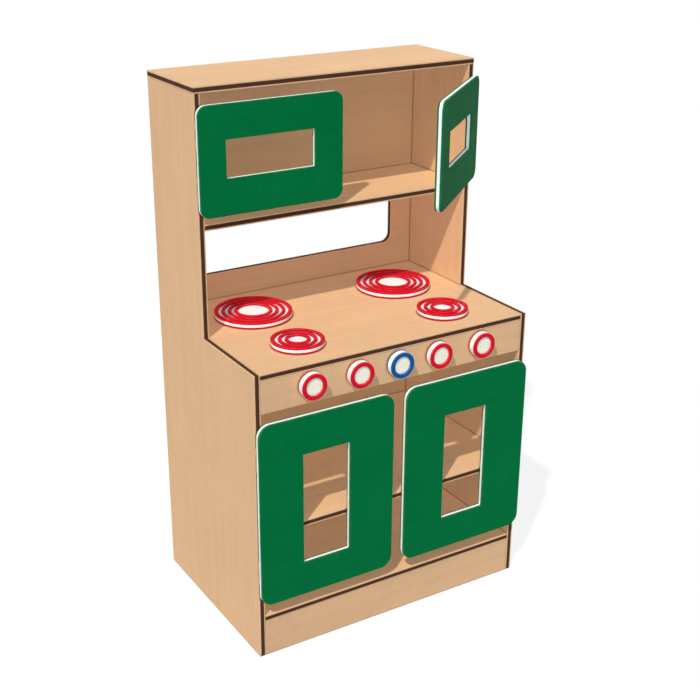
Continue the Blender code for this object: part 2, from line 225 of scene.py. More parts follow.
def cutAway(piece, cutter):
    boolean = piece.modifiers.new("cut", "BOOLEAN")
    boolean.operation = "DIFFERENCE"
    boolean.solver = "EXACT"
    boolean.object = cutter
    applyLast(piece)
    bpy.data.objects.remove(cutter, do_unlink=True)


def joinInto(piece, others):
    pick(piece)
    for other in others:
        other.select_set(True)
    bpy.ops.object.join()
    return piece


def giveSlot(piece, index, wanted):  # the faces that pass the test get the material of this number
    while len(piece.data.materials) <= index:
        piece.data.materials.append(None)
    editFaces(piece, wanted)
    piece.active_material_index = index
    bpy.ops.object.material_slot_assign()
    leaveEdit()


def copyOf(master, name, placing):  # a copy with a mesh of its own, placed by a matrix
    copy = master.copy()
    copy.data = master.data.copy()
    copy.name = name
    bpy.context.scene.collection.objects.link(copy)
    copy.matrix_world = placing
    bake(copy)
    return copy


def finish(piece, node, materials, smoothAngle=40):
    pick(piece)
    bpy.ops.object.shade_smooth_by_angle(angle=math.radians(smoothAngle))
    weighted = piece.modifiers.new("flat faces stay flat", "WEIGHTED_NORMAL")
    weighted.keep_sharp = True
    applyLast(piece)
    while len(piece.data.materials) < len(materials):
        piece.data.materials.append(None)
    for index, material in enumerate(materials):
        piece.data.materials[index] = material
    piece.name = node + "_piece"
    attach(piece, bodyOf[node])
    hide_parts(node)


# Building node trees

def addNode(tree, kind, **settings):
    node = tree.nodes.new(kind)
    for key, value in settings.items():
        setattr(node, key, value)
    return node


def feed(tree, socket, value):  # a socket is linked to, anything else is set
    if isinstance(value, bpy.types.NodeSocket):
        tree.links.new(value, socket)
    else:
        socket.default_value = value


def maths(tree, operation, first, second=None, third=None, clamp=False):
    node = addNode(tree, "ShaderNodeMath", operation=operation, use_clamp=clamp)
    for index, value in enumerate((first, second, third)):
        if value is not None:
            feed(tree, node.inputs[index], value)
    return node.outputs[0]


def aroundZero(tree, pattern, depth):  # a pattern from 0 to 1 gets this depth, half of it below zero
    return maths(tree, "MULTIPLY_ADD", pattern, depth, -depth / 2)


def ramp(tree, value, low, high, start, end, smooth=True):  # value from low to high becomes start to end
    node = addNode(tree, "ShaderNodeMapRange", interpolation_type="SMOOTHSTEP" if smooth else "LINEAR")
    feed(tree, node.inputs["Value"], value)
    feed(tree, node.inputs["From Min"], low)
    feed(tree, node.inputs["From Max"], high)
    feed(tree, node.inputs["To Min"], start)
    feed(tree, node.inputs["To Max"], end)
    return node.outputs["Result"]


def noise(tree, vector, scale, detail=2.0, roughness=0.5):
    node = addNode(tree, "ShaderNodeTexNoise")
    feed(tree, node.inputs["Vector"], vector)
    feed(tree, node.inputs["Scale"], scale)
    feed(tree, node.inputs["Detail"], detail)
    feed(tree, node.inputs["Roughness"], roughness)
    return node.outputs["Fac"]


def stretched(tree, vector, stretch, turn=(0, 0, 0)):  # a texture mapping turns first and then divides
    node = addNode(tree, "ShaderNodeMapping", vector_type="TEXTURE")
    feed(tree, node.inputs["Vector"], vector)
    node.inputs["Rotation"].default_value = turn
    node.inputs["Scale"].default_value = [1 / amount for amount in stretch]
    return node.outputs["Vector"]


def mixColour(tree, amount, first, second):
    node = addNode(tree, "ShaderNodeMix", data_type="RGBA")
    feed(tree, node.inputs["Factor"], amount)
    feed(tree, node.inputs[6], first)
    feed(tree, node.inputs[7], second)
    return node.outputs[2]


def scaleColour(tree, colour, amount):
    node = addNode(tree, "ShaderNodeVectorMath", operation="SCALE")
    feed(tree, node.inputs[0], colour)
    feed(tree, node.inputs["Scale"], amount)
    return node.outputs[0]


def newGroup(name, inputs, outputs):
    group = bpy.data.node_groups.new(name, "ShaderNodeTree")
    for label, kind, value in inputs:
        socket = group.interface.new_socket(label, in_out="INPUT", socket_type="NodeSocket" + kind)
        if value is not None:
            socket.default_value = value
    for label, kind in outputs:
        group.interface.new_socket(label, in_out="OUTPUT", socket_type="NodeSocket" + kind)
    return group, addNode(group, "NodeGroupInput").outputs, addNode(group, "NodeGroupOutput").inputs


def place(tree, group, **values):  # a group in a material or in another group, its inputs given by name
    node = addNode(tree, "ShaderNodeGroup", node_tree=group)
    for label, value in values.items():
        feed(tree, node.inputs[label], value)
    return node.outputs


# Effects: worn edges, scuffs, and shade painted into joints and inner corners

def makeWearGroup():  # a mask that is 1 on worn outer edges
    group, given, out = newGroup(
        "edgeWear",
        [("Vector", "Vector", None), ("Radius", "Float", 0.001), ("Patchiness", "Float", 40.0)],
        [("Mask", "Float")],
    )
    bevel = addNode(group, "ShaderNodeBevel", samples=wearLooks["bevelSamples"])
    feed(group, bevel.inputs["Radius"], given["Radius"])
    plain = addNode(group, "ShaderNodeNewGeometry")
    dot = addNode(group, "ShaderNodeVectorMath", operation="DOT_PRODUCT")
    feed(group, dot.inputs[0], bevel.outputs["Normal"])
    feed(group, dot.inputs[1], plain.outputs["Normal"])
    turned = ramp(group, dot.outputs["Value"], *wearLooks["turned"], 0.0, 1.0)
    patches = noise(group, given["Vector"], given["Patchiness"], wearLooks["patchDetail"])
    patches = ramp(group, patches, *wearLooks["patches"], wearLooks["leastWear"], 1.0)
    feed(group, out["Mask"], maths(group, "MULTIPLY", turned, patches))
    return group


def makeSeamGroup():  # painted shade: a mask from ambient occlusion that is 1 in the open and falls to 0 down in joints and inner corners
    group, given, out = newGroup("paintedJointShade", [("Distance", "Float", 0.004)], [("Open", "Float")])
    crevice = addNode(group, "ShaderNodeAmbientOcclusion", samples=wearLooks["jointSamples"])
    feed(group, crevice.inputs["Distance"], given["Distance"])
    feed(group, out["Open"], ramp(group, crevice.outputs["AO"], *wearLooks["joint"], 0.0, 1.0))
    return group


def makeScuffGroup():  # thin, scattered scratches and a few rubbed patches
    group, given, out = newGroup(
        "scuffs", [("Vector", "Vector", None)], [("Scratches", "Float"), ("Rubbed", "Float")]
    )
    found = None
    for turn, stretch in wearLooks["scratchSets"]:
        lines = stretched(group, given["Vector"], stretch, (0, 0, turn))
        lines = noise(group, lines, scale=1.0, detail=0.0)
        thin = ramp(group, lines, *wearLooks["scratchLines"], 0.0, 1.0)
        found = thin if found is None else maths(group, "MAXIMUM", found, thin)
    where = noise(group, given["Vector"], *wearLooks["scratchPlaces"])
    where = ramp(group, where, *wearLooks["scratchPlaceShare"], 0.0, 1.0)
    feed(group, out["Scratches"], maths(group, "MULTIPLY", found, where))
    patches = noise(group, given["Vector"], *wearLooks["rubbed"])
    feed(group, out["Rubbed"], ramp(group, patches, *wearLooks["rubbedShare"], 0.0, 1.0))
    return group


def makeSheetGroup(wearGroup, paintedShadeGroup, scuffGroup):  # the sheet's layers, pebbled skins and milled cuts, with shade painted into its joints and inner corners
    group, given, out = newGroup(
        "colouredSheet",
        [
            ("Vector", "Vector", None),
            ("Skin", "Color", (1, 1, 1, 1)),
            ("Core", "Color", (1, 1, 1, 1)),
            ("Half Thickness", "Float", sheet["thickness"] / 2),
            ("Half Core", "Float", sheet["panelCore"] / 2),
        ],
        [("Color", "Color"), ("Roughness", "Float"), ("Height", "Float")],
    )
    vector = given["Vector"]
    parts = addNode(group, "ShaderNodeSeparateXYZ")
    feed(group, parts.inputs[0], vector)
    height = maths(group, "ABSOLUTE", parts.outputs["Z"])
    beyond = maths(group, "SUBTRACT", height, given["Half Core"])
    core = ramp(group, beyond, -sheetLooks["coreBlend"], sheetLooks["coreBlend"], 1.0, 0.0)
    below = maths(group, "SUBTRACT", given["Half Thickness"], height)
    cut = ramp(group, below, *sheetLooks["cutBlend"], 0.0, 1.0)
    face = maths(group, "SUBTRACT", 1.0, cut)

    broad = noise(group, vector, *sheetLooks["broad"])
    middling = noise(group, vector, *sheetLooks["middling"])
    fine = noise(group, vector, *sheetLooks["fine"])
    drawn = noise(group, stretched(group, vector, sheetLooks["drawnStretch"]), *sheetLooks["drawn"])
    ridges = noise(group, stretched(group, vector, sheetLooks["ridgesStretch"]), *sheetLooks["ridges"])
    tone = 1.0
    tones = {"broadTone": broad, "middlingTone": middling, "fineTone": fine, "drawnTone": drawn}
    for label, pattern in tones.items():
        tone = maths(group, "ADD", aroundZero(group, pattern, sheetLooks[label]), tone)
    milled = maths(group, "MULTIPLY", aroundZero(group, ridges, sheetLooks["milledTone"]), cut)
    tone = maths(group, "ADD", tone, milled)

    colour = mixColour(group, core, given["Skin"], given["Core"])
    colour = scaleColour(group, colour, tone)
    scuffs = place(group, scuffGroup, Vector=vector)
    scratch = maths(group, "MULTIPLY", scuffs["Scratches"], face)
    worn = place(
        group,
        wearGroup,
        Vector=vector,
        Radius=sheetLooks["wearRadius"],
        Patchiness=sheetLooks["wearPatchiness"],
    )["Mask"]
    whiteShare, brightness = sheetLooks["wearPaleness"]
    paler = scaleColour(group, mixColour(group, whiteShare, colour, (1, 1, 1, 1)), brightness)
    rubbed = maths(group, "MULTIPLY", worn, sheetLooks["wear"])
    scratched = maths(group, "MULTIPLY", scratch, sheetLooks["scratches"])
    colour = mixColour(group, maths(group, "MAXIMUM", rubbed, scratched), colour, paler)
    # painted shade: the colour is darkened down in joints, inner corners and recesses, following ambient
    # occlusion
    darkestPaintedShade = sheetLooks["darkestPaintedShade"]
    paintedShade = maths(group, "MULTIPLY_ADD", place(group, paintedShadeGroup)["Open"], 1 - darkestPaintedShade, darkestPaintedShade)
    feed(group, out["Color"], scaleColour(group, colour, paintedShade))

    rubbedFace = maths(group, "MULTIPLY", scuffs["Rubbed"], face)
    shine = maths(group, "MULTIPLY_ADD", middling, sheetLooks["middlingRoughness"], sheetLooks["roughness"])
    shine = maths(group, "MULTIPLY_ADD", cut, sheetLooks["cutRoughness"], shine)
    shine = maths(group, "MULTIPLY_ADD", rubbedFace, sheetLooks["rubbedRoughness"], shine)
    shine = maths(group, "MULTIPLY_ADD", scratch, sheetLooks["scratchRoughness"], shine)
    feed(group, out["Roughness"], shine)

    pebbles = addNode(group, "ShaderNodeTexVoronoi", feature="F1")
    feed(group, pebbles.inputs["Vector"], vector)
    pebbles.inputs["Scale"].default_value = sheetLooks["pebbles"]
    hollow = maths(group, "MULTIPLY", pebbles.outputs["Distance"], pebbles.outputs["Distance"])
    grain = maths(group, "MULTIPLY", maths(group, "SUBTRACT", 1.0, hollow), face)
    relief = maths(group, "MULTIPLY_ADD", fine, sheetLooks["fineRelief"], grain)
    cutRelief = maths(group, "MULTIPLY", cut, sheetLooks["ridgesRelief"])
    relief = maths(group, "MULTIPLY_ADD", ridges, cutRelief, relief)
    relief = maths(group, "MULTIPLY_ADD", scratch, sheetLooks["scratchRelief"], relief)
    relief = maths(group, "MULTIPLY_ADD", middling, sheetLooks["middlingRelief"], relief)
    feed(group, out["Height"], relief)
    return group


wearGroup = makeWearGroup()
scuffGroup = makeScuffGroup()
sheetGroup = makeSheetGroup(wearGroup, makeSeamGroup(), scuffGroup)


def newMaterial(name):
    material = bpy.data.materials.new(name)
    material.use_nodes = True
    tree = material.node_tree
    return material, tree, tree.nodes["Principled BSDF"]


def bumped(tree, shader, height, distance, strength=1.0):
    bump = addNode(tree, "ShaderNodeBump")
    bump.inputs["Strength"].default_value = strength
    bump.inputs["Distance"].default_value = distance
    feed(tree, bump.inputs["Height"], height)
    feed(tree, shader.inputs["Normal"], bump.outputs["Normal"])


def sheetMaterial(name, skin, core, centre, turn, half=None, halfCore=None, gloss="gloss"):
    # centre is a point in the middle of the sheet, and turn brings Z across the sheet's thickness
    material, tree, shader = newMaterial(name)
    where = addNode(tree, "ShaderNodeTexCoord")
    local = addNode(tree, "ShaderNodeMapping", vector_type="TEXTURE")
    local.inputs["Location"].default_value = centre
    local.inputs["Rotation"].default_value = turn
    feed(tree, local.inputs["Vector"], where.outputs["Object"])
    given = place(
        tree,
        sheetGroup,
        Vector=local.outputs["Vector"],
        Skin=(*sheet[skin], 1),
        Core=(*sheet[core], 1),
    )
    node = given["Color"].node
    node.inputs["Half Thickness"].default_value = half or sheet["thickness"] / 2
    node.inputs["Half Core"].default_value = halfCore or sheet["panelCore"] / 2
    feed(tree, shader.inputs["Base Color"], given["Color"])
    feed(tree, shader.inputs["Roughness"], given["Roughness"])
    shader.inputs["Specular IOR Level"].default_value = sheetLooks[gloss]
    bumped(tree, shader, given["Height"], sheetLooks["bump"], sheetLooks["bumpStrength"])
    return material


alongY = (math.pi / 2, 0, 0)  # the turn that brings Z onto the Y axis
across = {"x": (0, math.pi / 2, 0), "y": alongY, "z": (0, 0, 0)}  # the axis through the sheet


# Bolts and screws, and the holes that they go through

bolts = {
    "along": 1,  # the axis that it lies along in the cabinet, here Y
    "shank": 0.0032,
    "headHeight": 0.0042,
    "dome": 0.0016,
    "edgeRound": 0.0003,
    "socket": 0.0026,
    "socketDepth": 0.0022,
    "steps": 48,
}
screws = {
    "along": 2,
    "radius": 0.0042,
    "headHeight": 0.0024,
    "shank": 0.0020,
    "dome": 0.0011,
    "edgeRound": 0.0002,
    "cross": (0.0044, 0.0010, 0.0014),  # length, width and depth
    "steps": 40,
}
fasteners = {"knob_bolt_": bolts, "_screw_": screws}  # by a part of their nodes' names
boreSteps = 32
taperShare = 0.55  # of a slot's width that is left at its bottom


def middleOf(node):
    low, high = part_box(node)
    return (low + high) / 2


def boreFor(piece, kind, start=""):  # holes for the fasteners of this kind whose names start so
    along = fasteners[kind]["along"]
    radius = fasteners[kind]["shank"] + sheet["gap"]
    for node in bodyOf:
        if kind in node and node.startswith(start):
            low, high = middleOf(node), middleOf(node)
            low[along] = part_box(node)[0][along] - sheet["gap"]
            high[along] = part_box(node)[1][along] + sheet["gap"]
            turn = alongY if along == 1 else (0, 0, 0)
            cutAway(piece, addRound("bore", radius, low, high, boreSteps, turn))


def cutCross(piece, long, narrow, deepest, outside):  # two crossing slots along Z that narrow to the bottom
    low, high = sorted((deepest, outside))
    for first, second in ((long, narrow), (narrow, long)):
        slot = addBlock("slot", (-first / 2, -second / 2, low), (first / 2, second / 2, high))
        inward = -1 if outside > deepest else 1
        editFaces(slot, lambda centre, normal: normal.z * inward > flat)
        bpy.ops.transform.resize(value=(taperShare, taperShare, 1), center_override=(0, 0, 0))
        leaveEdit()
        cutAway(piece, slot)


def makeBolt():  # along Z, its head's underside at zero and its shank upwards
    low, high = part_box("knob_bolt_1")
    radius = (high.x - low.x) / 2
    length = high.y - low.y - bolts["headHeight"]
    bolt = addRound("bolt", radius, (0, 0, -bolts["headHeight"]), (0, 0, 0), bolts["steps"])
    editFaces(bolt, lambda centre, normal: normal.z > flat)
    bpy.ops.mesh.inset(thickness=radius - bolts["shank"])
    bpy.ops.mesh.extrude_region_move(TRANSFORM_OT_translate={"value": (0, 0, length)})
    leaveEdit()
    editEdges(bolt, lambda a, b: max(a.z, b.z) < -bolts["headHeight"] + close)
    bpy.ops.mesh.bevel(offset=bolts["dome"], segments=5, profile=0.5, affect="EDGES")
    leaveEdit()
    roundEdges(bolt, bolts["edgeRound"], segments=2, angle=50)
    deepest = bolts["socketDepth"] - bolts["headHeight"]
    below = -2 * bolts["headHeight"]
    cutAway(bolt, addRound("socket", bolts["socket"], (0, 0, below), (0, 0, deepest), sides=6))
    return bolt


def makeScrew():  # along Z, its head's underside at zero
    low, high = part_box("burner_back_left_screw_1")
    screw = addRound("screw", screws["radius"], (0, 0, -screws["headHeight"]), (0, 0, 0), screws["steps"])
    editFaces(screw, lambda centre, normal: normal.z > flat)
    bpy.ops.mesh.inset(thickness=screws["radius"] - screws["shank"])
    shankLength = high.z - low.z - screws["headHeight"]
    bpy.ops.mesh.extrude_region_move(TRANSFORM_OT_translate={"value": (0, 0, shankLength)})
    leaveEdit()
    editEdges(screw, lambda a, b: max(a.z, b.z) < -screws["headHeight"] + close)
    bpy.ops.mesh.bevel(offset=screws["dome"], segments=4, profile=0.5, affect="EDGES")
    leaveEdit()
    roundEdges(screw, screws["edgeRound"], segments=2, angle=50)
    length, width, depth = screws["cross"]
    cutCross(screw, length, width, depth - screws["headHeight"], -2 * screws["headHeight"])
    return screw


# Cabinet panels

panels = {
    "top_panel": "z",
    "counter": "z",
    "hutch_shelf": "z",
    "middle_shelf": "z",
    "floor_panel": "z",
    "control_panel": "y",
    "kick_plate": "y",
}
backWindow = {
    "sideMargin": 0.0513,
    "aboveCounter": 0.054,
    "belowShelf": 0.051,
    "corner": 0.019,
    "cornerSteps": 14,
}
boredPanels = {"control_panel": "knob_bolt_", "counter": "_screw_"}  # which fasteners go through


def makePanel(node, axis):
    panel = addBlock(node, *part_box(node))
    roundEdges(panel, sheet["edgeRound"])
    if node in boredPanels:
        boreFor(panel, boredPanels[node])
    finish(panel, node, [sheetMaterial(node, "tan", "brown", middleOf(node), across[axis])])


def cutWindow(piece, low, high):  # low and high are the (x, z) corners of a hole through the thickness
    for corner in (low, high):
        slice(piece, (corner[0], 0, 0), (1, 0, 0))
        slice(piece, (0, 0, corner[1]), (0, 0, 1))
    editFaces(
        piece,
        lambda centre, normal: abs(normal.y) > flat
        and low[0] < centre.x < high[0]
        and low[1] < centre.z < high[1],
    )
    bpy.ops.mesh.bridge_edge_loops()
    leaveEdit()


def roundCorners(piece, radius, steps, wanted):  # rounds the edges that run through the thickness
    editEdges(piece, wanted)
    bpy.ops.mesh.bevel(offset=radius, offset_type="OFFSET", segments=steps, profile=0.5, affect="EDGES")
    leaveEdit()


def throughEdge(first, second):  # an edge that runs along Y
    return max(abs(first.x - second.x), abs(first.z - second.z)) < close


def makeBack():
    low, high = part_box("back_panel")
    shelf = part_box("hutch_shelf")[0].z
    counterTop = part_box("counter")[1].z
    inset = backWindow["sideMargin"] - sheet["gap"]
    windowLow = (low.x + inset, counterTop + backWindow["aboveCounter"])
    windowHigh = (high.x - inset, shelf - backWindow["belowShelf"])
    panel = addBlock("back_panel", low, high)
    cutWindow(panel, windowLow, windowHigh)

    def atWindow(first, second):
        onSide = min(abs(first.x - windowLow[0]), abs(first.x - windowHigh[0])) < near
        onLevel = min(abs(first.z - windowLow[1]), abs(first.z - windowHigh[1])) < near
        return throughEdge(first, second) and onSide and onLevel

    roundCorners(panel, backWindow["corner"], backWindow["cornerSteps"], atWindow)
    roundEdges(panel, sheet["edgeRound"])
    material = sheetMaterial("back_panel", "tan", "brown", middleOf("back_panel"), across["y"])
    finish(panel, "back_panel", [material])


def makeSide(node):
    low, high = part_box(node)
    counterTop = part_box("counter")[1].z
    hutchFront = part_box("hutch_shelf")[0].y
    side = addBlock(node, low, (high.x, high.y, counterTop))
    slice(side, (0, hutchFront, 0), (0, 1, 0))
    editFaces(side, lambda centre, normal: normal.z > flat and centre.y > hutchFront)
    bpy.ops.mesh.extrude_region_move(TRANSFORM_OT_translate={"value": (0, 0, high.z - counterTop)})
    leaveEdit()
    roundEdges(side, sheet["edgeRound"])
    return side


def finishSide(side, node):
    material = sheetMaterial(node, "tan", "brown", middleOf(node), across["x"])
    finish(side, node, [material])


for node, axis in panels.items():
    makePanel(node, axis)
makeBack()
sides = {1: makeSide("left_side"), -1: makeSide("right_side")}
print("panels made")


# Metal, paint and nylon

steelLooks = {
    "colour": (0.62, 0.62, 0.61),
    "cloud": (160.0, 3.0, 0.6),  # scale, detail and roughness of the noise
    "brushed": (1.0, 2.0),
    "brushedStretch": (2600, 2600, 90),
    "tone": (0.24, 0.88),  # how far the cloud brightens it, and its darkest
    "roughness": 0.24,
    "cloudRoughness": 0.16,
    "brushedRoughness": 0.10,
    "cloudRelief": 0.4,
    "bump": 0.00003,
    "bumpStrength": 0.5,
}
paintLooks = {
    "peel": (1100.0, 1.0),
    "cloud": (70.0, 2.0),
    "wearRadius": 0.0005,
    "wearPatchiness": 260.0,
    "bareFrom": (0.82, 0.98),  # how worn an edge is where the metal starts to show, and where it is bare
    "metal": (0.5, 0.5, 0.5),
    "tone": (0.10, 0.95),
    "roughness": 0.30,
    "cloudRoughness": 0.10,
    "gloss": 0.4,
    "bump": 0.00004,
    "bumpStrength": 0.5,
}
nylonLooks = {
    "cloud": (320.0, 3.0),
    "dark": (0.76, 0.74, 0.67),
    "pale": (0.85, 0.84, 0.79),
    "roughness": 0.38,
    "cloudRoughness": 0.15,
    "depth": 0.1,
    "bump": 0.00003,
    "bumpStrength": 0.4,
}


def makeSteelGroup():
    group, given, out = newGroup(
        "platedSteel",
        [("Vector", "Vector", None), ("Color", "Color", (*steelLooks["colour"], 1))],
        [("Color", "Color"), ("Roughness", "Float"), ("Height", "Float")],
    )
    vector = given["Vector"]
    cloud = noise(group, vector, *steelLooks["cloud"])
    brushed = stretched(group, vector, steelLooks["brushedStretch"])
    brushed = noise(group, brushed, *steelLooks["brushed"])
    tone = maths(group, "MULTIPLY_ADD", cloud, *steelLooks["tone"])
    feed(group, out["Color"], scaleColour(group, given["Color"], tone))
    rough = maths(group, "MULTIPLY_ADD", cloud, steelLooks["cloudRoughness"], steelLooks["roughness"])
    rough = maths(group, "MULTIPLY_ADD", brushed, steelLooks["brushedRoughness"], rough)
    feed(group, out["Roughness"], rough)
    feed(group, out["Height"], maths(group, "MULTIPLY_ADD", cloud, steelLooks["cloudRelief"], brushed))
    return group


def makePaintGroup(wearGroup):
    group, given, out = newGroup(
        "powderCoat",
        [
            ("Vector", "Vector", None),
            ("Color", "Color", (1, 1, 1, 1)),
            ("Metal", "Color", (*paintLooks["metal"], 1)),
        ],
        [("Color", "Color"), ("Roughness", "Float"), ("Metallic", "Float"), ("Height", "Float")],
    )
    vector = given["Vector"]
    peel = noise(group, vector, *paintLooks["peel"])
    cloud = noise(group, vector, *paintLooks["cloud"])
    worn = place(
        group,
        wearGroup,
        Vector=vector,
        Radius=paintLooks["wearRadius"],
        Patchiness=paintLooks["wearPatchiness"],
    )["Mask"]
    bare = ramp(group, worn, *paintLooks["bareFrom"], 0.0, 1.0)
    painted = scaleColour(group, given["Color"], maths(group, "MULTIPLY_ADD", cloud, *paintLooks["tone"]))
    feed(group, out["Color"], mixColour(group, bare, painted, given["Metal"]))
    rough = maths(group, "MULTIPLY_ADD", cloud, paintLooks["cloudRoughness"], paintLooks["roughness"])
    feed(group, out["Roughness"], rough)
    feed(group, out["Metallic"], bare)
    feed(group, out["Height"], peel)
    return group


def steelMaterial(group):
    material, tree, shader = newMaterial("platedSteel")
    where = addNode(tree, "ShaderNodeTexCoord")
    given = place(tree, group, Vector=where.outputs["Object"])
    feed(tree, shader.inputs["Base Color"], given["Color"])
    feed(tree, shader.inputs["Roughness"], given["Roughness"])
    shader.inputs["Metallic"].default_value = 1.0
    bumped(tree, shader, given["Height"], steelLooks["bump"], steelLooks["bumpStrength"])
    return material


def paintMaterial(group):
    material, tree, shader = newMaterial("hingePaint")
    where = addNode(tree, "ShaderNodeTexCoord")
    given = place(tree, group, Vector=where.outputs["Object"], Color=(*sheet["tan"], 1))
    feed(tree, shader.inputs["Base Color"], given["Color"])
    feed(tree, shader.inputs["Roughness"], given["Roughness"])
    feed(tree, shader.inputs["Metallic"], given["Metallic"])
    shader.inputs["Specular IOR Level"].default_value = paintLooks["gloss"]
    bumped(tree, shader, given["Height"], paintLooks["bump"], paintLooks["bumpStrength"])
    return material


def nylonMaterial():
    material, tree, shader = newMaterial("washerNylon")
    where = addNode(tree, "ShaderNodeTexCoord")
    cloud = noise(tree, where.outputs["Object"], *nylonLooks["cloud"])
    colour = mixColour(tree, cloud, (*nylonLooks["dark"], 1), (*nylonLooks["pale"], 1))
    feed(tree, shader.inputs["Base Color"], colour)
    rough = maths(tree, "MULTIPLY_ADD", cloud, nylonLooks["cloudRoughness"], nylonLooks["roughness"])
    feed(tree, shader.inputs["Roughness"], rough)
    shader.inputs["Subsurface Weight"].default_value = nylonLooks["depth"]
    bumped(tree, shader, cloud, nylonLooks["bump"], nylonLooks["bumpStrength"])
    return material


steel = steelMaterial(makeSteelGroup())
paint = paintMaterial(makePaintGroup(wearGroup))
nylon = nylonMaterial()


# Doors and their hinges

hinges = {
    "length": 0.050,
    "leafWidth": 0.0105,
    "leafThickness": 0.0010,
    "leafCorner": 0.0022,
    "knuckleRadius": 0.0021,
    "pinRadius": 0.0009,
    "clearance": 0.0003,
    "play": 0.0001,  # between the pin and its bore
    "overlap": 0.0004,  # of the tongue that ties a knuckle to its plate
    "endPlay": 0.00008,  # at each end of a knuckle
    "plateRound": 0.00018,
    "knuckleRound": 0.00022,
    "screwHead": 0.0020,
    "screwShift": 0.0002,  # away from the knuckles
    "screwHeadHeight": 0.0006,
    "knuckleSteps": 40,
    "pinSteps": 28,
    "screwSteps": 28,
    "sinkSteps": 32,
    "leafCornerSteps": 6,
    "screwPlaces": (-0.0175, 0.0, 0.0175),  # heights of the screws on a leaf, from its middle
}
crossShares = {  # of a leaf screw's head
    "rounding": 0.18,
    "length": 1.15,
    "width": 0.26,
    "depth": 0.7,
}
upperDoors = {
    "middleGap": 0.012,
    "bottom": 0.8255,
    "top": 1.0305,
    "corner": 0.0185,
    "windowSide": 0.0575,
    "windowAboveBottom": 0.069,
    "windowBelowTop": 0.0645,
    "hingeInset": 0.052,
    "cornerSteps": 14,
}
lowerDoors = {
    "middleGap": 0.028,
    "bottom": 0.119,
    "top": 0.4948,
    "corner": 0.0245,
    "windowSide": 0.095,
    "windowAboveBottom": 0.0695,
    "windowBelowTop": 0.0768,
    "hingeInset": 0.070,
    "cornerSteps": 16,
}
doorPlaces = {  # +1 is hinged on the left and -1 on the right; the window lies a little off the middle
    "upper_left_door": (upperDoors, 1, 0.003, 0.0),
    "upper_right_door": (upperDoors, -1, 0.0, 40.5),
    "lower_left_door": (lowerDoors, 1, 0.003, 0.0),
    "lower_right_door": (lowerDoors, -1, 0.003, 0.0),
}


def crossHead(name, radius, height):  # a screw head along Z, its top at zero, with a cross recess
    head = addRound(name, radius, (0, 0, -height), (0, 0, 0), hinges["screwSteps"])
    roundEdges(head, radius * crossShares["rounding"], segments=2)
    long, narrow = radius * crossShares["length"], radius * crossShares["width"]
    cutCross(head, long, narrow, -height * crossShares["depth"], height)
    return head


def makeLeaf(name, ofDoor):
    # around the hinge line, with its plate towards +X; the door's leaf has the middle knuckle
    front = -1 if ofDoor else 1
    half = hinges["length"] / 2
    inner = sheet["gap"] / 2
    outer = inner + hinges["leafThickness"]
    ys = sorted((front * inner, front * outer))
    radius = hinges["knuckleRadius"]
    clear = radius + hinges["clearance"]
    knuckle = hinges["length"] / 3
    plate = addBlock(name, (clear, ys[0], -half), (hinges["leafWidth"], ys[1], half))
    outerX = hinges["leafWidth"] - close

    def atCorner(first, second):
        return throughEdge(first, second) and first.x > outerX

    roundCorners(plate, hinges["leafCorner"], hinges["leafCornerSteps"], atCorner)
    roundEdges(plate, hinges["plateRound"], segments=2)
    spans = [(-knuckle / 2, knuckle / 2)] if ofDoor else [(-half, -knuckle / 2), (knuckle / 2, half)]
    pieces = []
    overlap = hinges["overlap"]
    boreRadius = hinges["pinRadius"] + hinges["play"]
    for low, high in spans:
        low += hinges["endPlay"]
        high -= hinges["endPlay"]
        barrel = addRound(name + "_knuckle", radius, (0, 0, low), (0, 0, high), hinges["knuckleSteps"])
        roundEdges(barrel, hinges["knuckleRound"], segments=2)
        tongue = addBlock(name + "_tongue", (overlap, ys[0], low), (clear + overlap, ys[1], high))
        for bored in (barrel, tongue):
            cutAway(bored, addRound("bore", boreRadius, (0, 0, -half), (0, 0, half), hinges["pinSteps"]))
            pieces.append(bored)
    if not ofDoor:
        pinHalf = half - hinges["play"]
        ends = (0, 0, -pinHalf), (0, 0, pinHalf)
        pin = addRound(name + "_pin", hinges["pinRadius"], *ends, hinges["pinSteps"])
        roundEdges(pin, hinges["knuckleRound"], segments=2)
        pieces.append(pin)
    joinInto(plate, pieces)
    metal = []
    screwMaster = crossHead("leafScrew", hinges["screwHead"], hinges["screwHeadHeight"])
    faceOut = Matrix.Rotation(-front * math.pi / 2, 4, "X") @ Matrix.Rotation(math.pi, 4, "X")
    middle = (clear + hinges["leafWidth"]) / 2 + hinges["screwShift"]
    for number, height in enumerate(hinges["screwPlaces"]):
        sinkRadius = hinges["screwHead"] + hinges["play"]
        start, end = (middle, -radius, height), (middle, radius, height)
        cutAway(plate, addRound("sink", sinkRadius, start, end, hinges["sinkSteps"], alongY))
        placing = Matrix.Translation((middle, front * (inner + hinges["endPlay"]), height)) @ faceOut
        metal.append(copyOf(screwMaster, name + "_screw_" + str(number), placing))
    bpy.data.objects.remove(screwMaster, do_unlink=True)
    plate.data.materials.append(paint)
    for item in metal:
        item.data.materials.append(steel)
    return joinInto(plate, metal)


def hingePocket(hingeLine, side, front, height):  # what a leaf and its knuckles are let into
    reach = hinges["length"] / 2 + hinges["clearance"]
    deep = sheet["gap"] / 2 + hinges["leafThickness"] + hinges["clearance"]
    xs = sorted((0.0, side * (hinges["leafWidth"] + hinges["clearance"])))
    ys = sorted((-front * hinges["clearance"], front * deep))
    middle = hingeLine + Vector((0, 0, height))
    low, high = middle + Vector((xs[0], ys[0], -reach)), middle + Vector((xs[1], ys[1], reach))
    up = Vector((0, 0, reach))
    radius = hinges["knuckleRadius"] + hinges["clearance"]
    roundPocket = addRound("pocket", radius, middle - up, middle + up, hinges["knuckleSteps"])
    return addBlock("pocket", low, high), roundPocket


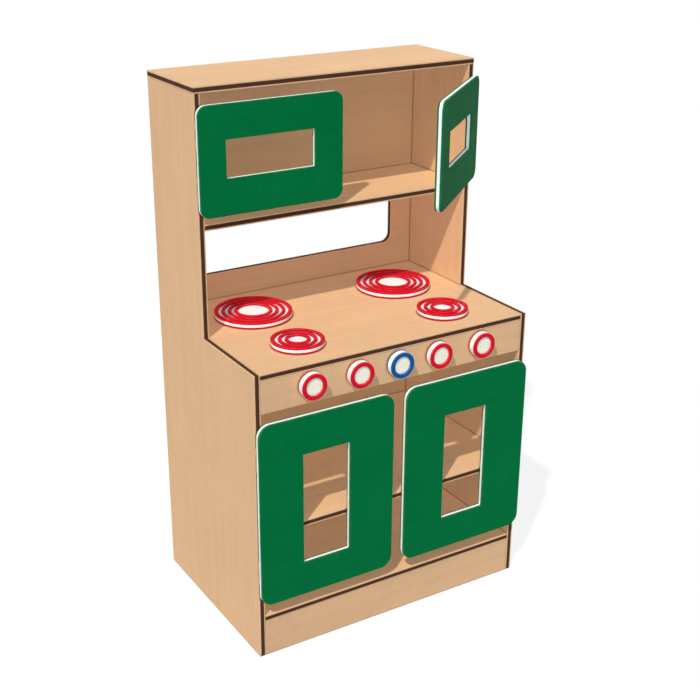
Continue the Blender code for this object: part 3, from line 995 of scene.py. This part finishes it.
def makeDoor(name, leaves):
    door, side, offset, openAngle = doorPlaces[name]
    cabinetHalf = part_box("top_panel")[1].x
    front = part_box("hutch_shelf" if door is upperDoors else "kick_plate")[0].y
    gap = sheet["gap"]
    hingeLine = Vector((-side * cabinetHalf, front - gap / 2, 0))
    width = cabinetHalf - door["middleGap"] / 2
    xs = sorted((hingeLine.x + side * gap, hingeLine.x + side * width))
    low = Vector((xs[0], front - gap - sheet["thickness"], door["bottom"]))
    high = Vector((xs[1], front - gap, door["top"]))
    piece = addBlock(name, low, high)

    def atCorner(first, second):
        return throughEdge(first, second) and min(abs(first.x - xs[0]), abs(first.x - xs[1])) < close

    roundCorners(piece, door["corner"], door["cornerSteps"], atCorner)
    middle = hingeLine.x + side * width / 2 - offset
    reach = width / 2 - door["windowSide"]
    windowLow = (middle - reach, low.z + door["windowAboveBottom"])
    windowHigh = (middle + reach, high.z - door["windowBelowTop"])
    cutWindow(piece, windowLow, windowHigh)
    roundEdges(piece, sheet["doorEdgeRound"])
    opened = (
        Matrix.Translation(hingeLine)
        @ Matrix.Rotation(math.radians(-side * openAngle), 4, "Z")
        @ Matrix.Translation(-hingeLine)
    )
    flip = Matrix.Identity(4) if side > 0 else Matrix.Rotation(math.pi, 4, "Y")
    for number, height in ((1, low.z + door["hingeInset"]), (2, high.z - door["hingeInset"])):
        for cutter in hingePocket(hingeLine, side, -1, height):
            cutAway(piece, cutter)
        for cutter in hingePocket(hingeLine, side, 1, height):
            cutAway(sides[side], cutter)
        node = name + "_hinge_" + str(number)
        at = Matrix.Translation(hingeLine + Vector((0, 0, height))) @ flip
        sideLeaf = copyOf(leaves[False], node + "_side_leaf", at)
        finish(sideLeaf, node + "_side_leaf", [paint, steel])
        doorLeaf = copyOf(leaves[True], node + "_door_leaf", opened @ at)
        finish(doorLeaf, node + "_door_leaf", [paint, steel])
    piece.matrix_world = opened
    bake(piece)
    turn = Euler((math.pi / 2, 0, math.radians(-side * openAngle)))
    centre = opened @ Vector((middle, (low.y + high.y) / 2, (low.z + high.z) / 2))
    half = sheet["thickness"] / 2
    material = sheetMaterial(name, "green", "white", centre, turn, half, sheet["doorCore"] / 2, "doorGloss")
    finish(piece, name, [material])


leaves = {ofDoor: makeLeaf("doorLeaf" if ofDoor else "sideLeaf", ofDoor) for ofDoor in (False, True)}
for name in doorPlaces:
    makeDoor(name, leaves)
for master in leaves.values():
    bpy.data.objects.remove(master, do_unlink=True)
finishSide(sides[1], "left_side")
finishSide(sides[-1], "right_side")
print("doors and hinges made")


# Knobs, with their bolts and washers

knobs = {
    "ringWidth": 0.0080,
    "recessDepth": 0.0030,
    "edgeRound": 0.0009,
    "boreDepth": 0.0108,
    "steps": 96,
    # the knobs' red is painted brighter than the burners' red, standing in for light
    "colours": ("knobRedPaintedBrighter", "knobRedPaintedBrighter", "blue", "knobRedPaintedBrighter", "knobRedPaintedBrighter"),
    "washerRound": 0.00025,
    "washerSteps": 64,
}
knobBore = bolts["shank"] + sheet["gap"]


def makeKnob(node, colour):
    low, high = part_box(node)
    middle = (low + high) / 2
    radius = (high.x - low.x) / 2
    back, front = (middle.x, high.y, middle.z), (middle.x, low.y, middle.z)
    knob = addRound(node, radius, back, front, knobs["steps"], alongY)
    editFaces(knob, lambda centre, normal: normal.y < -flat)
    bpy.ops.mesh.inset(thickness=knobs["ringWidth"])
    bpy.ops.mesh.extrude_region_move(TRANSFORM_OT_translate={"value": (0, knobs["recessDepth"], 0)})
    leaveEdit()
    editFaces(knob, lambda centre, normal: normal.y > flat)
    bpy.ops.mesh.inset(thickness=radius - knobBore)
    bpy.ops.mesh.extrude_region_move(TRANSFORM_OT_translate={"value": (0, -knobs["boreDepth"], 0)})
    leaveEdit()
    roundEdges(knob, knobs["edgeRound"], angle=60)
    floorAt = low.y + knobs["recessDepth"]
    giveSlot(knob, 1, lambda centre, normal: normal.y < -flat and abs(centre.y - floorAt) < near)
    half = (high.y - low.y) / 2
    halfCore = half - sheet["knobSkin"]
    rim = sheetMaterial(node, colour, "white", middle, across["y"], half, halfCore)
    disc = sheetMaterial(node + "_disc", "cream", "cream", middle, across["y"], half, halfCore, "discGloss")
    finish(knob, node, [rim, disc])


def makeWasher(node):
    low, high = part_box(node)
    middle = (low + high) / 2
    radius = (high.x - low.x) / 2
    back, front = (middle.x, high.y, middle.z), (middle.x, low.y, middle.z)
    washer = addRound(node, radius, back, front, knobs["washerSteps"], alongY)
    editFaces(washer, lambda centre, normal: abs(normal.y) > flat)
    bpy.ops.mesh.inset(thickness=radius - knobBore, use_individual=True)
    bpy.ops.mesh.bridge_edge_loops()
    leaveEdit()
    roundEdges(washer, knobs["washerRound"], segments=2)
    finish(washer, node, [nylon])


boltMaster = makeBolt()
for number, colour in enumerate(knobs["colours"], 1):
    makeKnob("knob_" + str(number), colour)
    makeWasher("knob_washer_" + str(number))
    boltNode = "knob_bolt_" + str(number)
    low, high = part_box(boltNode)
    underHead = Vector(((low.x + high.x) / 2, high.y - bolts["headHeight"], (low.z + high.z) / 2))
    placing = Matrix.Translation(underHead) @ Matrix.Rotation(math.pi / 2, 4, "X")
    finish(copyOf(boltMaster, boltNode, placing), boltNode, [steel])
bpy.data.objects.remove(boltMaster, do_unlink=True)
print("knobs made")


# Burners and their screws

burners = {
    "rim": 0.0076,
    "groove": 0.0066,
    "ridge": 0.0061,
    "grooveDepth": 0.0040,
    "recessDepth": 0.0040,
    "edgeRound": 0.0006,
    "steps": 144,
    "grooves": {
        "burner_back_left": 3,
        "burner_back_right": 3,
        "burner_front_left": 2,
        "burner_front_right": 2,
    },
}


def makeBurner(node, grooveCount):
    low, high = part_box(node)
    middle = (low + high) / 2
    radius = (high.x - low.x) / 2
    top = Vector((middle.x, middle.y, high.z))
    burner = addRound(node, radius, (middle.x, middle.y, low.z), top, burners["steps"])
    widths = [burners["rim"]]
    for groove in range(grooveCount):
        widths.extend([burners["groove"], burners["ridge"]])
    editFaces(burner, lambda centre, normal: normal.z > flat)
    for width in widths:
        bpy.ops.mesh.inset(thickness=width)
    bpy.ops.mesh.extrude_region_move(TRANSFORM_OT_translate={"value": (0, 0, -burners["recessDepth"])})
    leaveEdit()
    outer = radius - burners["rim"]
    for groove in range(grooveCount):
        inner = outer - burners["groove"]
        editFaces(
            burner,
            lambda centre, normal: normal.z > flat
            and centre.z > high.z - near
            and inner < (centre - top).length < outer,
        )
        bpy.ops.mesh.extrude_region_move(TRANSFORM_OT_translate={"value": (0, 0, -burners["grooveDepth"])})
        leaveEdit()
        outer = inner - burners["ridge"]
    roundEdges(burner, burners["edgeRound"], angle=60)
    boreFor(burner, "_screw_", node)
    half = sheet["thickness"] / 2
    material = sheetMaterial(node, "red", "white", middle, across["z"], half, sheet["burnerCore"] / 2)
    finish(burner, node, [material])


screwMaster = makeScrew()
for node, grooveCount in burners["grooves"].items():
    makeBurner(node, grooveCount)
    for number in ("1", "2"):
        screwNode = node + "_screw_" + number
        low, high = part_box(screwNode)
        underHead = Vector(((low.x + high.x) / 2, (low.y + high.y) / 2, low.z + screws["headHeight"]))
        screw = copyOf(screwMaster, screwNode, Matrix.Translation(underHead))
        finish(screw, screwNode, [steel])
bpy.data.objects.remove(screwMaster, do_unlink=True)
print("burners made")


# Floor, light and camera

studio = {
    "floorSize": 60.0,
    "floorGap": 0.0002,  # between the floor and what stands on it
    "floorSeen": 0.20,  # how pale the floor's own colour is to the camera, the rest of its white is glow
    "floorGlow": 0.79,
    "floorColour": (0.42, 0.42, 0.42),  # what it throws back at the object
    "skyLight": 0.25,
    "skyTint": (0.94, 1.0, 1.08),
    "lamps": {  # strength, tint, softness in degrees, the way it travels, whether it has shadows and shines
        "sun": (2.46, (1.0, 0.93, 0.86), 1.6, (0.63, 0.50, -1.0), True),
        "front_fill": (1.12, (0.82, 1.0, 1.2), 30.0, (0.60, 0.60, -0.55), False),
        "rear_fill": (1.5, (1, 1, 1), 30.0, (-0.65, -0.65, -0.15), False),
    },
}
view = {
    "place": (-1.2024, -1.75845, 1.4572),
    "down": 21.943,
    "right": 30.966,
    "lens": 63.126,
    "sensor": 36,
    "farthest": 100,
    "shift": (0.0301, -0.0192),
}


def seenDirectly(tree):  # 1 for the camera, and for what is seen in a reflection or through glass
    path = addNode(tree, "ShaderNodeLightPath").outputs
    seen = maths(tree, "MAXIMUM", path["Is Camera Ray"], path["Is Glossy Ray"])
    return maths(tree, "MAXIMUM", seen, path["Is Transmission Ray"])


def makeFloor():
    clearSelection()
    bpy.ops.mesh.primitive_plane_add(size=studio["floorSize"], location=(0, 0, -studio["floorGap"]))
    floor = bpy.context.active_object
    floor.name = "floor"
    material = bpy.data.materials.new("paleFloor")
    material.use_nodes = True
    tree = material.node_tree
    tree.nodes.clear()
    seen = seenDirectly(tree)
    pale = (studio["floorSeen"],) * 3 + (1,)
    colour = mixColour(tree, seen, (*studio["floorColour"], 1), pale)
    matt = addNode(tree, "ShaderNodeBsdfDiffuse")
    feed(tree, matt.inputs["Color"], colour)
    glow = addNode(tree, "ShaderNodeEmission")
    feed(tree, glow.inputs["Strength"], maths(tree, "MULTIPLY", seen, studio["floorGlow"]))
    both = addNode(tree, "ShaderNodeAddShader")
    feed(tree, both.inputs[0], matt.outputs[0])
    feed(tree, both.inputs[1], glow.outputs[0])
    feed(tree, addNode(tree, "ShaderNodeOutputMaterial").inputs["Surface"], both.outputs[0])
    floor.data.materials.append(material)


def makeLight():
    world = bpy.data.worlds.new("studio")
    bpy.context.scene.world = world
    world.use_nodes = True
    tree = world.node_tree
    sky = tree.nodes["Background"]
    seen = seenDirectly(tree)
    light = studio["skyLight"]
    feed(tree, sky.inputs["Color"], mixColour(tree, seen, (*studio["skyTint"], 1), (1, 1, 1, 1)))
    feed(tree, sky.inputs["Strength"], maths(tree, "MULTIPLY_ADD", seen, 1.0 - light, light))
    for name, (strength, tint, softness, travels, isKey) in studio["lamps"].items():
        lamp = bpy.data.lights.new(name, "SUN")
        lamp.energy = strength
        lamp.angle = math.radians(softness)
        lamp.use_shadow = isKey
        lamp.color = tint
        holder = bpy.data.objects.new(name, lamp)
        holder.visible_glossy = isKey
        bpy.context.scene.collection.objects.link(holder)
        holder.rotation_euler = Vector(travels).to_track_quat("-Z", "Y").to_euler()


def makeCamera():
    lens = bpy.data.cameras.new("camera")
    lens.lens = view["lens"]
    lens.sensor_width = view["sensor"]
    lens.shift_x, lens.shift_y = view["shift"]
    lens.clip_end = view["farthest"]
    camera = bpy.data.objects.new("camera", lens)
    bpy.context.scene.collection.objects.link(camera)
    camera.location = view["place"]
    camera.rotation_euler = (math.radians(90 - view["down"]), 0, math.radians(-view["right"]))
    bpy.context.scene.camera = camera


makeFloor()
makeLight()
makeCamera()
bpy.context.scene.view_settings.view_transform = "Standard"
print("floor, light and camera set")
